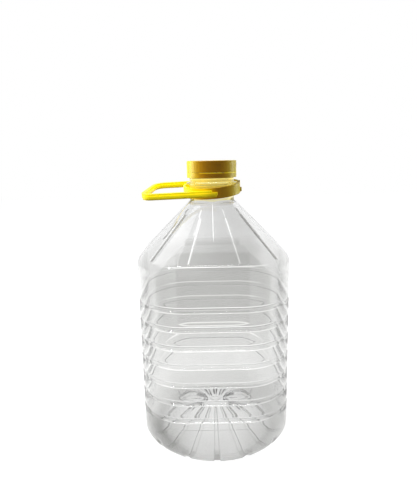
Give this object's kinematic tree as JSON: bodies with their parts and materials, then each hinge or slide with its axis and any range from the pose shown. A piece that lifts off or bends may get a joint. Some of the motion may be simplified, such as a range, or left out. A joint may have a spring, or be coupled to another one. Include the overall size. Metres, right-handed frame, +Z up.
{
  "type": "plastic demijohn",
  "caption": "Clear squarish blown plastic demijohn with grooved walls, fluted shoulder, ribbed bottom, yellow screw cap and ring-mounted carrying loop.",
  "frame": {"origin": "middle of the standing ring, on the bottle's axis", "axes": "+Z up along the bottle's axis, -Y out of the front face, -X towards the carrying loop"},
  "size_m": [0.155, 0.155, 0.2995],
  "materials": {
    "clear_plastic": "clear and glossy",
    "yellow_plastic": "moulded, satin to glossy",
    "white_foam": "foamed, matt"
  },
  "bodies": {
    "bottle": {"bottle": "clear_plastic", "tamper_band": "yellow_plastic"},
    "wad": {"cap_wad": "white_foam"},
    "cap": {"cap": "yellow_plastic"},
    "collar": {"handle_collar": "yellow_plastic"},
    "loop": {"handle_loop": "yellow_plastic"}
  },
  "joints": [
    {"name": "wad_lift", "type": "slide", "parent": "bottle", "child": "wad", "axis": [0, 0, 1], "range_m": [0, 0.006]},
    {"name": "cap_turn", "type": "hinge", "parent": "wad", "child": "cap", "pos_m": [0, 0, 0.2979], "axis": [0, 0, 1], "range_deg": [0, 540]},
    {"name": "collar_turn", "type": "hinge", "parent": "bottle", "child": "collar", "pos_m": [0, 0, 0.2712], "axis": [-0.061, -0.113, 0.9917], "continuous": true},
    {"name": "loop_swing", "type": "hinge", "parent": "collar", "child": "loop", "pos_m": [0, 0, 0.2712], "axis": [0.1389, 0.9829, 0.1205], "range_deg": [0, 95]}
  ],
  "couplings": [
    {"joint": "wad_lift", "follows": "cap_turn", "m_per_rad": 0.00063662}
  ]
}
